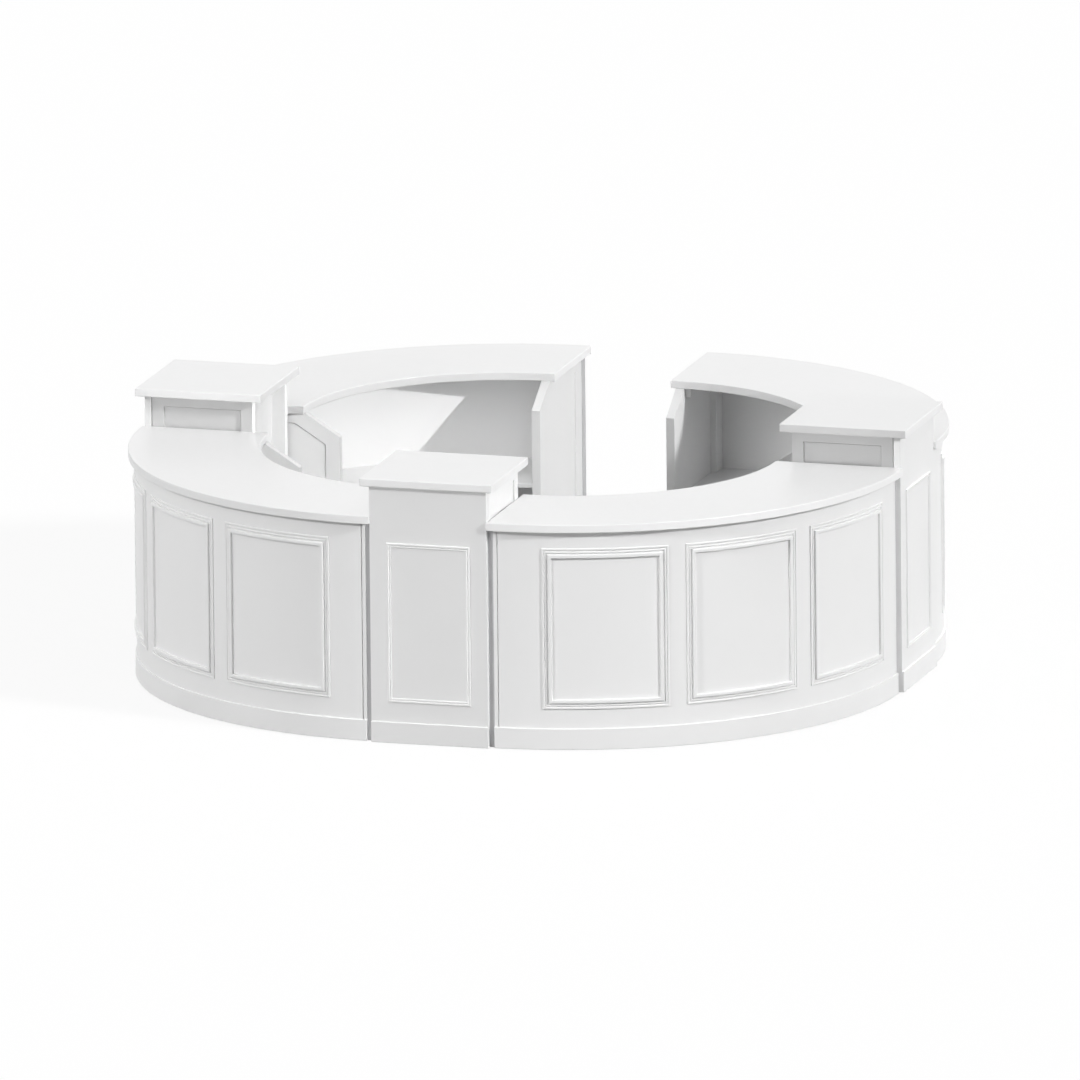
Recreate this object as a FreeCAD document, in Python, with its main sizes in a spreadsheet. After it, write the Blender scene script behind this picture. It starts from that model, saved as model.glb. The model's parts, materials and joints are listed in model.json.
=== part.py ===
# Modular bar counter: a round bar of four quarter-circle modules and three straight pedestals.
# Millimetres, +Z up. The origin is on the floor under the middle of the whole counter.
# A guest standing at the front pedestal looks along +Y; the staff walk in from +Y.
import FreeCAD, Part
import Sketcher
import math
import os
import re

os.makedirs("parts", exist_ok=True)
doc = FreeCAD.newDocument("ModularBarCounter")

# Driving dimensions: name, value and what it is
SIZES = [
    ("counter_height", "1067", "floor to worktop"),
    ("counter_thickness", "38", "worktop board"),
    ("counter_outer", "1550", "outer radius of the worktop"),
    ("counter_depth", "612", "worktop from outer to inner edge"),
    ("counter_ease", "4", "rounding of the worktop and cap edges"),
    ("wall_overhang", "31", "worktop beyond the wall face"),
    ("skin_thickness", "18", "bent outer board"),
    ("stud_depth", "20", "space between outer board and liner"),
    ("liner_thickness", "9", "bent inner board"),
    ("stud_width", "45", "stud along the wall"),
    ("stud_inset", "230", "middle of the end stud from the end panel"),
    ("end_setback", "25", "end panel behind the end of the worktop"),
    ("end_thickness", "40", "end panel"),
    ("end_projection", "165", "end panel beyond the worktop's inner edge"),
    ("slope_drop", "105", "height of the sloping corner"),
    ("end_stile", "68", "border along the inner edge and the slope"),
    ("end_rail", "48", "border under the worktop"),
    ("end_foot_rail", "110", "border at the floor"),
    ("end_recess", "6", "depth of the sunk field"),
    ("lip_thickness", "18", "edge of the end panel that shows beside the wall"),
    ("lip_groove", "3", "open joint between that edge and the wall"),
    ("post_width", "30", "corner post, along the wall"),
    ("post_depth", "100", "corner post, along the end panel"),
    ("cleat_width", "25", "batten that carries a board at the end panel"),
    ("cleat_height", "45", "same, upright"),
    ("cleat_setback", "20", "batten behind the board's inner edge"),
    ("shelf_height", "537", "floor to the top of the shelf"),
    ("shelf_thickness", "20", "shelf and deck boards"),
    ("shelf_setback", "5", "shelf edge behind the worktop's inner edge"),
    ("deck_height", "80", "floor to the top of the deck"),
    ("kick_setback", "40", "kick board behind the deck edge"),
    ("kick_thickness", "18", "kick board"),
    ("bearer_width", "40", "bearers under the deck"),
    ("bearer_spacing", "520", "bearer to bearer, half way along them"),
    ("plinth_height", "102", "floor to the top of the skirting"),
    ("plinth_proud", "8", "skirting thickness"),
    ("frame_width", "587", "moulding frame, along the wall"),
    ("frame_gap", "84", "between two moulding frames"),
    ("frame_shift", "24", "middle frame from the middle of the wall"),
    ("frame_bottom", "194", "floor to the frame"),
    ("frame_rise", "756", "frame height"),
    ("bead_width", "10", "outer bead of the moulding"),
    ("bead_proud", "6", "same, thickness"),
    ("flat_width", "17", "flat of the moulding"),
    ("flat_proud", "3", "same, thickness"),
    ("nose_width", "18", "inner nose of the moulding"),
    ("nose_proud", "11", "same, thickness"),
    ("nose_slope", "4", "bevel on the nose"),
    ("strip_width", "50", "filler strip, along the end panel"),
    ("strip_setback", "6", "filler strip behind the wall face"),
    ("cover_thickness", "4", "strip at the way in, where there is no joint to fill"),
    ("pedestal_height", "1250", "floor to the top of the cap"),
    ("pedestal_width", "560", "pedestal between its neighbours"),
    ("pedestal_depth", "520", "pedestal from front to back"),
    ("pedestal_proud", "18", "pedestal face beyond the curved wall"),
    ("cap_thickness", "37", "cap board"),
    ("cap_overhang", "36", "cap beyond the front and the sides"),
    ("cap_back_overhang", "50", "cap beyond the back"),
    ("front_thickness", "32", "pedestal front board"),
    ("side_thickness", "38", "pedestal side"),
    ("side_stile", "56", "border of the side, upright"),
    ("side_rail", "48", "border of the side under the cap"),
    ("side_foot_rail", "120", "border of the side at the floor"),
    ("side_recess", "7", "depth of the sunk field"),
    ("shadow_groove", "4", "groove behind the front board"),
    ("back_thickness", "18", "pedestal back board"),
    ("back_inset", "66", "back board inside the back edge of the sides"),
    ("panel_width", "397", "pedestal moulding frame, across"),
    ("panel_rise", "750", "same, height"),
    ("panel_bottom", "195", "floor to that frame"),
    ("panel_bead", "20", "its moulding, across"),
    ("panel_proud", "9", "its moulding, thickness"),
    ("panel_slope", "4", "bevel on that moulding"),
    ("glide_diameter", "30", "floor glide"),
    ("glide_height", "4", "floor glide"),
    ("glide_inset", "60", "floor glide from the end of what it carries"),
    ("glue_gap", "0.5", "clearance between bent faces"),
    ("joint_gap", "0.5", "clearance between two modules"),
]

# Lengths that follow from the driving dimensions
DERIVED = {
    "counter_inner": "counter_outer - counter_depth",
    "counter_bottom": "counter_height - counter_thickness",
    "wall_outer": "counter_outer - wall_overhang",
    "skin_inner": "wall_outer - skin_thickness",
    "liner_outer": "skin_inner - stud_depth",
    "liner_inner": "liner_outer - liner_thickness",
    "carcass_height": "counter_bottom - glide_height",
    "end_inner": "counter_inner - end_projection",
    "end_back": "end_setback + end_thickness",
    "end_outer": "sqrt(skin_inner ^ 2 - end_back ^ 2) - glue_gap",
    "slope_bottom": "counter_bottom - slope_drop",
    "slope_length": "sqrt(end_projection ^ 2 + slope_drop ^ 2)",
    "post_end": "end_back + post_width",
    "post_outer": "sqrt(liner_inner ^ 2 - post_end ^ 2) - glue_gap",
    "post_inner": "post_outer - post_depth",
    "shelf_inner": "counter_inner + shelf_setback",
    "shelf_outer": "liner_inner - glue_gap",
    "shelf_bottom": "shelf_height - shelf_thickness",
    "deck_bottom": "deck_height - shelf_thickness",
    "kick_inner": "shelf_inner + kick_setback",
    "kick_outer": "kick_inner + kick_thickness",
    "trim_inner": "wall_outer + glue_gap",
    "lip_end": "end_setback + lip_thickness",
    "lip_outer": "sqrt(wall_outer ^ 2 - lip_end ^ 2) - glue_gap",
    "slot_half": "pedestal_width / 2",
    "front_face": "wall_outer + pedestal_proud",
    "body_back": "front_face - pedestal_depth",
    "front_back": "front_face - front_thickness",
    "cap_bottom": "pedestal_height - cap_thickness",
    "cap_front": "front_face + cap_overhang",
    "cap_half": "slot_half + cap_overhang",
    "cap_back": "body_back - cap_back_overhang",
    "body_height": "cap_bottom - glide_height",
    "plan_shift": "(cap_front - counter_outer) / 2",
}

sheet = doc.addObject("Spreadsheet::Sheet", "Sizes")
for row, (alias, number, note) in enumerate(SIZES, start=1):
    sheet.set(f"A{row}", note)
    sheet.set(f"B{row}", number)
    sheet.setAlias(f"B{row}", alias)
doc.recompute()
ALIASES = {alias for alias, number, note in SIZES}
# Two faces within this distance count as level
FLUSH = 1e-4


def spell(text):
    """Write a rule in plain size names as an expression on the sheet."""
    def word(match):
        name = match.group()
        if name in ALIASES:
            return "Sizes." + name
        if name in DERIVED:
            return "(" + spell(DERIVED[name]) + ")"
        return name
    return re.sub(r"[a-z_]+", word, str(text))


def measure(text):
    """The number that a rule gives with the sheet's present values."""
    return float(sheet.evalExpression(spell(text)))


def bind(thing, rules):
    """Tie properties of a document object to the sheet."""
    for name, text in rules.items():
        thing.setExpression(name, spell(text))


# Solids made of straight blocks and round discs
def block(name, start, size):
    """A board with its lowest corner at start."""
    box = doc.addObject("Part::Box", name)
    for axis, text in zip("xyz", start):
        bind(box, {f"Placement.Base.{axis}": text})
    for side, text in zip(("Length", "Width", "Height"), size):
        bind(box, {side: text})
    return box


def radial_block(name, angle, reach, depth, width, bottom, height):
    """A board that points away from the arc's centre, at an angle in degrees from X."""
    box = block(name, (
        f"({reach}) * cos(({angle}) * 1 deg) + ({width}) / 2 * sin(({angle}) * 1 deg)",
        f"({reach}) * sin(({angle}) * 1 deg) - ({width}) / 2 * cos(({angle}) * 1 deg)",
        bottom), (depth, width, height))
    bind(box, {"Placement.Rotation.Angle": angle})
    return box


def disc(name, across, along):
    """A floor glide with its foot on the floor."""
    foot = doc.addObject("Part::Cylinder", name)
    bind(foot, {"Radius": "glide_diameter / 2", "Height": "glide_height"})
    bind(foot, {"Placement.Base.x": across, "Placement.Base.y": along})
    return foot


def cut(name, base, tool):
    """A board with a piece taken away."""
    result = doc.addObject("Part::Cut", name)
    result.Base = base
    result.Tool = tool
    return result


# Bodies drawn as sketches
def sketch_on(body, role, name, level="0"):
    """A sketch on one of the body's own planes, moved along its normal by level."""
    sketch = body.newObject("Sketcher::SketchObject", name)
    plane = next(item for item in body.Origin.OriginFeatures if item.Role == role)
    sketch.AttachmentSupport = [(plane, "")]
    sketch.MapMode = "FlatFace"
    bind(sketch, {"AttachmentOffset.Base.z": level})
    return sketch


def pin(sketch, kind, line, end, text, name):
    """Hold one end of a line at a distance from the sketch's origin along one axis."""
    place = Sketcher.Constraint(kind, -1, 1, line, end, measure(text))
    sketch.renameConstraint(sketch.addConstraint(place), name)
    bind(sketch, {f"Constraints.{name}": text})


def draw_polygon(sketch, corners):
    """A closed outline; each corner is held by its two distances from the origin."""
    points = [FreeCAD.Vector(measure(across), measure(up), 0) for across, up in corners]
    lines = [sketch.addGeometry(Part.LineSegment(start, end), False)
             for start, end in zip(points, points[1:] + points[:1])]
    for before, line, (across, up) in zip(lines[-1:] + lines, lines, corners):
        sketch.addConstraint(Sketcher.Constraint("Coincident", before, 2, line, 1))
        pin(sketch, "DistanceX", line, 1, across, f"across_{line}")
        pin(sketch, "DistanceY", line, 1, up, f"up_{line}")


def draw_sector(sketch, inner, outer, inset):
    """A quarter ring about the origin, with straight ends a fixed distance from the two axes."""
    ends = []
    for radius in (outer, inner):
        size = measure(radius)
        lean = math.asin(measure(inset) / size)
        circle = Part.Circle(FreeCAD.Vector(0, 0, 0), FreeCAD.Vector(0, 0, 1), size)
        ends.append((size, lean))
        arc = sketch.addGeometry(Part.ArcOfCircle(circle, lean, math.pi / 2 - lean), False)
        sketch.addConstraint(Sketcher.Constraint("Coincident", arc, 3, -1, 1))
        name = f"radius_{arc}"
        sketch.renameConstraint(sketch.addConstraint(Sketcher.Constraint("Radius", arc, size)), name)
        bind(sketch, {f"Constraints.{name}": radius})
    for side, (kind, rule) in enumerate((("DistanceY", "Horizontal"), ("DistanceX", "Vertical")), start=1):
        points = []
        for size, lean in ends:
            turn = lean if side == 1 else math.pi / 2 - lean
            points.append(FreeCAD.Vector(size * math.cos(turn), size * math.sin(turn), 0))
        line = sketch.addGeometry(Part.LineSegment(*points), False)
        sketch.addConstraint(Sketcher.Constraint("Coincident", line, 1, 0, side))
        sketch.addConstraint(Sketcher.Constraint("Coincident", line, 2, 1, side))
        sketch.addConstraint(Sketcher.Constraint(rule, line))
        pin(sketch, kind, line, 1, inset, f"end_{side}")


def feature(body, kind, name, profile, rules):
    """A sketch-based feature with its sizes tied to the sheet."""
    result = body.newObject("PartDesign::" + kind, name)
    result.Profile = profile
    bind(result, rules)
    return result


def curved_board(name, inner, outer, inset, bottom, thickness):
    """A board bent or cut to the quarter circle."""
    body = doc.addObject("PartDesign::Body", name)
    plan = sketch_on(body, "XY_Plane", name + "_plan", bottom)
    draw_sector(plan, inner, outer, inset)
    feature(body, "Pad", name + "_pad", plan, {"Length": thickness})
    return body


def ease_edges(body):
    """Round over the edges of a board's upper and lower faces."""
    doc.recompute()
    board = body.Tip
    edges = []
    for index, edge in enumerate(board.Shape.Edges, start=1):
        if edge.BoundBox.ZLength < FLUSH:
            edges.append(f"Edge{index}")
    rounding = body.newObject("PartDesign::Fillet", body.Name + "_ease")
    rounding.Base = (board, edges)
    bind(rounding, {"Radius": "counter_ease"})
    return body


# Quarter-circle module, in a frame with the arc's centre at the origin and both ends on the axes
def make_countertop():
    top = curved_board("quarter_countertop", "counter_inner", "counter_outer", "joint_gap",
                       "counter_bottom", "counter_thickness")
    return [ease_edges(top)]


def make_front_panel():
    return [curved_board("quarter_front_panel", "skin_inner", "wall_outer", "lip_end + lip_groove",
                         "glide_height", "carcass_height")]


def make_back_liner():
    return [curved_board("quarter_back_liner", "liner_inner", "liner_outer", "end_back",
                         "glide_height", "carcass_height")]


def ring_profile(body, name, low, high, margin):
    """A rectangle from radius low to radius high, inset by margin from the frame's outline."""
    sketch = sketch_on(body, "XZ_Plane", name)
    floor = f"frame_bottom + {margin}"
    ceiling = f"frame_bottom + frame_rise - ({margin})"
    draw_polygon(sketch, [(low, floor), (high, floor), (high, ceiling), (low, ceiling)])
    return sketch


def ring_feature(body, kind, name, low, high, margin):
    """Sweep that rectangle about the arc's centre, over the frame's width less the same margin."""
    sketch = ring_profile(body, name + "_profile", low, high, margin)
    span = f"(frame_width - 2 * ({margin})) / wall_outer * 180 / pi"
    result = feature(body, kind, name, sketch, {"Angle": span})
    result.ReferenceAxis = (sketch, ["V_Axis"])
    result.Midplane = True
    return result


def make_moulding_frame(name, angle):
    """One applied frame: an outer bead, a lower flat and a bevelled nose round the open field."""
    body = doc.addObject("PartDesign::Body", name)
    nose_margin = "bead_width + flat_width"
    nose_top = "wall_outer + nose_proud"
    ring_feature(body, "Revolution", name + "_bead", "trim_inner", "wall_outer + bead_proud", "0")
    ring_feature(body, "Groove", name + "_flat", "wall_outer + flat_proud",
                 "wall_outer + nose_proud", "bead_width")
    nose = ring_feature(body, "Revolution", name + "_nose", "trim_inner", nose_top, nose_margin)
    doc.recompute()
    reach = measure(nose_top)
    edges = []
    for index, edge in enumerate(nose.Shape.Edges, start=1):
        if all(abs(math.hypot(corner.X, corner.Y) - reach) < FLUSH for corner in edge.Vertexes):
            edges.append(f"Edge{index}")
    bevel = body.newObject("PartDesign::Chamfer", name + "_bevel")
    bevel.Base = (nose, edges)
    bind(bevel, {"Size": "nose_slope"})
    ring_feature(body, "Groove", name + "_field", "trim_inner - glue_gap", nose_top,
                 nose_margin + " + nose_width")
    bind(body, {"Placement.Rotation.Angle": angle})
    return body


def make_front_trim():
    plinth = curved_board("quarter_plinth", "trim_inner", "wall_outer + plinth_proud", "end_setback",
                          "glide_height", "plinth_height - glide_height")
    along = "frame_shift + ({}) * (frame_width + frame_gap)"
    frames = [make_moulding_frame(f"quarter_frame_{place}",
                                  f"45 + ({along.format(step)}) / wall_outer * 180 / pi")
              for place, step in (("right", -1), ("middle", 0), ("left", 1))]
    return [plinth] + frames


def make_end_panel():
    """One end: a board with a sloping corner, a sunk field and a lip that shows beside the wall."""
    body = doc.addObject("PartDesign::Body", "quarter_end_panel")
    outline = sketch_on(body, "YZ_Plane", "end_outline", "end_setback")
    draw_polygon(outline, [
        ("end_inner", "glide_height"), ("end_outer", "glide_height"),
        ("end_outer", "counter_bottom"), ("counter_inner", "counter_bottom"),
        ("end_inner", "slope_bottom")])
    feature(body, "Pad", "end_board", outline, {"Length": "end_thickness"})
    lip = sketch_on(body, "YZ_Plane", "lip_outline", "end_setback")
    draw_polygon(lip, [
        ("end_outer - lip_thickness", "glide_height"), ("lip_outer", "glide_height"),
        ("lip_outer", "counter_bottom"), ("end_outer - lip_thickness", "counter_bottom")])
    feature(body, "Pad", "end_lip", lip, {"Length": "lip_thickness"})
    field = sketch_on(body, "YZ_Plane", "field_outline", "end_setback")
    slope = "slope_drop / end_projection"
    field_left = "end_inner + end_stile"
    field_top = "counter_bottom - end_rail"
    corner_up = ("slope_bottom - end_stile * end_projection / slope_length"
                 f" + {slope} * end_stile * (1 - slope_drop / slope_length)")
    run = "slope_drop - end_rail + end_stile * end_projection / slope_length"
    corner_across = f"end_inner + end_stile * slope_drop / slope_length + ({run}) / ({slope})"
    draw_polygon(field, [
        (field_left, "end_foot_rail"), ("post_inner", "end_foot_rail"), ("post_inner", field_top),
        (corner_across, field_top), (field_left, corner_up)])
    doc.recompute()
    solid_before = body.Tip.Shape.Volume
    sunk = feature(body, "Pocket", "end_field", field, {"Length": "end_recess"})
    sunk.Reversed = True
    doc.recompute()
    assert body.Tip.Shape.Volume < solid_before - 1, "the sunk field of the end panel cut nothing"
    return body


def swapped(name, pieces):
    """The same pieces for the module's other end, mirrored across the line at 45 degrees."""
    pair = []
    for piece in pieces:
        twin = doc.addObject("Part::Mirroring", f"{name}_{piece.Name}")
        twin.Source = piece
        twin.Normal = FreeCAD.Vector(1, -1, 0)
        pair.append(twin)
    return pieces + pair


def make_end_panels():
    return swapped("far", [make_end_panel()])


def make_framing():
    """Posts, cleats and studs that hold the wall, the shelf and the worktop."""
    corner = [
        block("post_lower", ("end_back", "post_inner", "deck_height"),
              ("post_width", "post_depth", "shelf_bottom - deck_height")),
        block("post_upper", ("end_back", "post_inner", "shelf_height"),
              ("post_width", "post_depth", "counter_bottom - shelf_height")),
    ]
    for name, under in (("shelf", "shelf_bottom"), ("counter", "counter_bottom")):
        start = ("end_back", "shelf_inner + cleat_setback", f"{under} - cleat_height")
        extent = ("cleat_width", "post_inner - shelf_inner - cleat_setback", "cleat_height")
        corner.append(block("cleat_" + name, start, extent))
    end_lean = "asin((end_back + stud_inset) / liner_outer) / 1 deg"
    stud_reach = "sqrt(skin_inner ^ 2 - stud_width ^ 2 / 4) - liner_outer - 2 * glue_gap"
    studs = [radial_block(f"stud_{step + 3}", f"45 + ({step}) * (45 - {end_lean}) / 2",
                          "liner_outer + glue_gap", stud_reach, "stud_width",
                          "glide_height", "carcass_height") for step in range(-2, 3)]
    return swapped("far", corner) + studs


def make_shelf():
    return [curved_board("quarter_shelf", "shelf_inner", "shelf_outer", "end_back",
                         "shelf_bottom", "shelf_thickness")]


BEARER_STEPS = (-1, 0, 1)
BEARER_START = "kick_outer + glue_gap"
BEARER_END = "sqrt(liner_inner ^ 2 - bearer_width ^ 2 / 4) - glue_gap"
BEARER_PITCH = "bearer_spacing / (kick_outer + liner_inner) * 360 / pi"


def make_base():
    """Deck on three bearers, with a kick board in front of them."""
    deck = curved_board("quarter_deck", "shelf_inner", "shelf_outer", "end_back",
                        "deck_bottom", "shelf_thickness")
    kick = curved_board("quarter_kick", "kick_inner", "kick_outer", "end_back",
                        "glide_height", "deck_bottom - glide_height")
    bearers = [radial_block(f"bearer_{step + 2}", f"45 + ({step}) * {BEARER_PITCH}", BEARER_START,
                            f"{BEARER_END} - ({BEARER_START})", "bearer_width", "glide_height",
                            "deck_bottom - glide_height") for step in BEARER_STEPS]
    return [deck, kick] + bearers


def make_end_strips(name, thickness):
    """A strip on each end panel, near the wall."""
    start = (f"end_setback - ({thickness})", "wall_outer - strip_setback - strip_width", "glide_height")
    return swapped("far", [block(name, start, (thickness, "strip_width", "carcass_height"))])


def make_quarter_glides():
    middle = "end_setback + end_thickness / 2"
    ends = [disc(f"end_glide_{spot}", middle, along) for spot, along in (
        ("inner", "end_inner + glide_inset"), ("centre", "(end_inner + end_outer) / 2"),
        ("outer", "end_outer - glide_inset"))]
    feet = []
    for step in BEARER_STEPS:
        angle = f"(45 + ({step}) * {BEARER_PITCH}) * 1 deg"
        for spot, reach in (("inner", f"{BEARER_START} + glide_inset"),
                            ("outer", f"{BEARER_END} - glide_inset")):
            feet.append(disc(f"bearer_glide_{step + 2}_{spot}",
                             f"({reach}) * cos({angle})", f"({reach}) * sin({angle})"))
    return swapped("far", ends) + feet


# Pedestal, in a frame with the arc-centre line at the origin and its guest side towards +Y
def make_cap():
    body = doc.addObject("PartDesign::Body", "pedestal_cap")
    plan = sketch_on(body, "XY_Plane", "cap_plan", "cap_bottom")
    draw_polygon(plan, [("-cap_half", "cap_back"), ("cap_half", "cap_back"),
                        ("cap_half", "cap_front"), ("-cap_half", "cap_front")])
    feature(body, "Pad", "cap_board", plan, {"Length": "cap_thickness"})
    return [ease_edges(body)]


def make_pedestal_front():
    return [block("pedestal_front", ("-slot_half", "front_back", "glide_height"),
                  ("pedestal_width", "front_thickness", "body_height"))]


def make_panel_frame():
    """A bevelled moulding round the field of the pedestal's front board."""
    body = doc.addObject("PartDesign::Body", "pedestal_frame")
    outline = sketch_on(body, "XZ_Plane", "panel_outline", "-front_face")
    for margin in ("0", "panel_bead"):
        left = f"({margin}) - panel_width / 2"
        right = f"panel_width / 2 - ({margin})"
        low = f"panel_bottom + ({margin})"
        high = f"panel_bottom + panel_rise - ({margin})"
        draw_polygon(outline, [(left, low), (right, low), (right, high), (left, high)])
    ring = feature(body, "Pad", "panel_ring", outline, {"Length": "panel_proud"})
    ring.Reversed = True
    doc.recompute()
    face = measure("front_face + panel_proud")
    edges = []
    for index, edge in enumerate(ring.Shape.Edges, start=1):
        if all(abs(corner.Y - face) < FLUSH for corner in edge.Vertexes):
            edges.append(f"Edge{index}")
    bevel = body.newObject("PartDesign::Chamfer", "panel_bevel")
    bevel.Base = (ring, edges)
    bind(bevel, {"Size": "panel_slope"})
    return body


def make_pedestal_trim():
    plinth = block("pedestal_plinth", ("-slot_half", "front_face", "glide_height"),
                   ("pedestal_width", "plinth_proud", "plinth_height - glide_height"))
    return [plinth, make_panel_frame()]


def make_pedestal_sides():
    """Two sides with a sunk field, and a groove where they meet the front board."""
    board = block("side_board", ("slot_half - side_thickness", "body_back", "glide_height"),
                  ("side_thickness", "front_back - body_back", "body_height"))
    field = block("side_field", ("slot_half - side_recess", "body_back + side_stile", "side_foot_rail"),
                  ("side_recess", "front_back - body_back - shadow_groove - 2 * side_stile",
                   "cap_bottom - side_rail - side_foot_rail"))
    groove = block("side_groove", ("slot_half - shadow_groove", "front_back - shadow_groove", "glide_height"),
                   ("shadow_groove", "shadow_groove", "body_height"))
    right = cut("side_right", cut("side_sunk", board, field), groove)
    left = doc.addObject("Part::Mirroring", "side_left")
    left.Source = right
    left.Normal = FreeCAD.Vector(1, 0, 0)
    return [right, left]


def make_pedestal_back():
    return [block("pedestal_back", ("side_thickness - slot_half", "body_back + back_inset", "glide_height"),
                  ("pedestal_width - 2 * side_thickness", "back_thickness", "body_height"))]


def make_pedestal_glides():
    feet = []
    for side in (-1, 1):
        across = f"({side}) * (slot_half - side_thickness / 2)"
        for spot, along in (("back", "body_back + glide_inset"), ("front", "front_back - glide_inset")):
            feet.append(disc(f"pedestal_glide_{side + 2}_{spot}", across, along))
    return feet


# A strip fills the joint to a pedestal; at the way in it is only a flat cover
near_filler, far_filler = make_end_strips("filler_strip", "end_setback - joint_gap")
near_cover, far_cover = make_end_strips("cover_strip", "cover_thickness")

# Pieces, each made once and then placed in every module of its kind
QUARTER = {
    "countertop": make_countertop(),
    "front_panel": make_front_panel(),
    "front_trim": make_front_trim(),
    "back_liner": make_back_liner(),
    "end_panels": make_end_panels(),
    "framing": make_framing(),
    "shelf": make_shelf(),
    "base": make_base(),
    "end_strips": [near_filler, far_filler],
    "glides": make_quarter_glides(),
}
PEDESTAL = {
    "cap": make_cap(),
    "front_panel": make_pedestal_front(),
    "front_trim": make_pedestal_trim(),
    "side_panels": make_pedestal_sides(),
    "back_panel": make_pedestal_back(),
    "glides": make_pedestal_glides(),
}
# Module name, its pieces, its turn about Z in degrees, and its place in slot half-widths
MODULES = [
    ("front_left", QUARTER, 180, -1, -1),
    ("front_right", QUARTER, -90, 1, -1),
    ("rear_left", {**QUARTER, "end_strips": [near_filler, far_cover]}, 90, -1, 1),
    ("rear_right", {**QUARTER, "end_strips": [near_cover, far_filler]}, 0, 1, 1),
    ("front_pedestal", PEDESTAL, 180, 0, -1),
    ("left_pedestal", PEDESTAL, 90, -1, 0),
    ("right_pedestal", PEDESTAL, -90, 1, 0),
]

nodes = []
for module, pieces, turn, across, along in MODULES:
    for piece, solids in pieces.items():
        node = doc.addObject("Part::Compound", f"{module}_{piece}")
        node.Label = f"{module}_{piece}"
        node.Links = solids
        node.Placement = FreeCAD.Placement(FreeCAD.Vector(), FreeCAD.Rotation(FreeCAD.Vector(0, 0, 1), turn))
        bind(node, {"Placement.Base.x": f"({across}) * slot_half",
                    "Placement.Base.y": f"({along}) * slot_half + plan_shift"})
        nodes.append(node)

doc.recompute()
for thing in doc.Objects:
    if "Invalid" in thing.State or "Error" in thing.State:
        raise RuntimeError(f"{thing.Label} failed: {thing.State}")
for node in nodes:
    if node.Shape.isNull() or not node.Shape.isValid() or len(node.Shape.Solids) < len(node.Links):
        raise RuntimeError(f"{node.Label} has no sound shape")
for node in nodes:
    node.Shape.exportStep(f"parts/{node.Label}.step")
print(f"{len(nodes)} nodes, {sum(len(node.Shape.Solids) for node in nodes)} solids")
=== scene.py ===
# %% [markdown]
# A round bar counter for a cafe or an event hall, all in white lacquer. Four quarter-circle bar
# modules and three taller pedestals stand side by side and are pushed together on the floor; the
# fourth slot stays open as the way in for the staff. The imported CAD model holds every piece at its
# true size and place. Here each of its boards gets the soft edges, mouldings and lacquer of the real
# thing, in the same frame, so that nothing has to be fitted by eye.

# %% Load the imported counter
import bmesh
import bpy
import json
import math
from mathutils import Matrix, Vector

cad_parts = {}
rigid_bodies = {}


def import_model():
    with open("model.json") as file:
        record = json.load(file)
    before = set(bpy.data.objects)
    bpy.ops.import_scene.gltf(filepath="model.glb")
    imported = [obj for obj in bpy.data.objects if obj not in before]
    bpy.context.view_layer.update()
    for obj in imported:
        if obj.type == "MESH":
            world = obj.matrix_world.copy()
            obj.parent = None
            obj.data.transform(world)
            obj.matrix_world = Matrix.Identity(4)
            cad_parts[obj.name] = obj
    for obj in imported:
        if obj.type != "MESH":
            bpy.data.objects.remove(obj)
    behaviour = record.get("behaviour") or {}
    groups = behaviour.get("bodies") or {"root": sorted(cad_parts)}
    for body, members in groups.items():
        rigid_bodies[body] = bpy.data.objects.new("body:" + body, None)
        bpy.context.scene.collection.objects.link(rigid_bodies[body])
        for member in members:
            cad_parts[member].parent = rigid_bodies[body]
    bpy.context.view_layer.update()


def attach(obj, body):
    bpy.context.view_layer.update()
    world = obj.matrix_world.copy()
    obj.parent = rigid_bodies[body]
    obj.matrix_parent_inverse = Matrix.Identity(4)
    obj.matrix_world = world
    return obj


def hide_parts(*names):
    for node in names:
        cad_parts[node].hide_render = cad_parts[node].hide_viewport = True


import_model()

scene = bpy.context.scene
scene.view_settings.view_transform = "Standard"

# %% [markdown]
# The modules are alike in nearly everything, so a piece is modelled once, in its module's own frame,
# and then copied. A quarter has the centre of its arc at the origin and its two ends on the axes; a
# pedestal faces +Y. A copy could be an object that is moved and turned, but then patterns in the lacquer
# would turn with it. Moving the vertices instead keeps every finished object at the origin.

# %% Where each module stands
MM = 0.001
SLOT_HALF = 280 * MM
PLAN_SHIFT = 11.5 * MM
# The line that halves a quarter, and the room left between pieces that touch
QUARTER_MIDDLE = math.radians(45)
CLEAR = 0.5 * MM
# Turn about Z in degrees, then the place in half-widths of a pedestal
QUARTERS = {
    "front_left": (180, -1, -1),
    "front_right": (-90, 1, -1),
    "rear_left": (90, -1, 1),
    "rear_right": (0, 1, 1),
}
PEDESTALS = {
    "front_pedestal": (180, 0, -1),
    "left_pedestal": (90, -1, 0),
    "right_pedestal": (-90, 1, 0),
}


def module_place(turn, across, along):
    """The move that takes a piece from its module's frame to the counter's frame."""
    spot = Vector((across * SLOT_HALF, along * SLOT_HALF + PLAN_SHIFT, 0))
    return Matrix.Translation(spot) @ Matrix.Rotation(math.radians(turn), 4, "Z")


for module, spot in {**QUARTERS, **PEDESTALS}.items():
    print(module, "stands at", [round(value, 4) for value in module_place(*spot).translation])

# %% [markdown]
# The finish is sprayed white lacquer on board. Close to, it is never one flat white: it has the faint
# dimples that sprayers call orange peel, a slightly uneven sheen, and a slow drift of tone from batch
# to batch and from handling. All painted boards share these effects, so they are one node group with
# its own numbers in each finish. It reads Object coordinates, because the boards have no UV map and
# the lacquer has no direction.

# %% Node group for sprayed lacquer
def add_node(tree, kind, **settings):
    """A new node with some of its properties set."""
    node = tree.nodes.new(kind)
    for name, value in settings.items():
        setattr(node, name, value)
    return node


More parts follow.
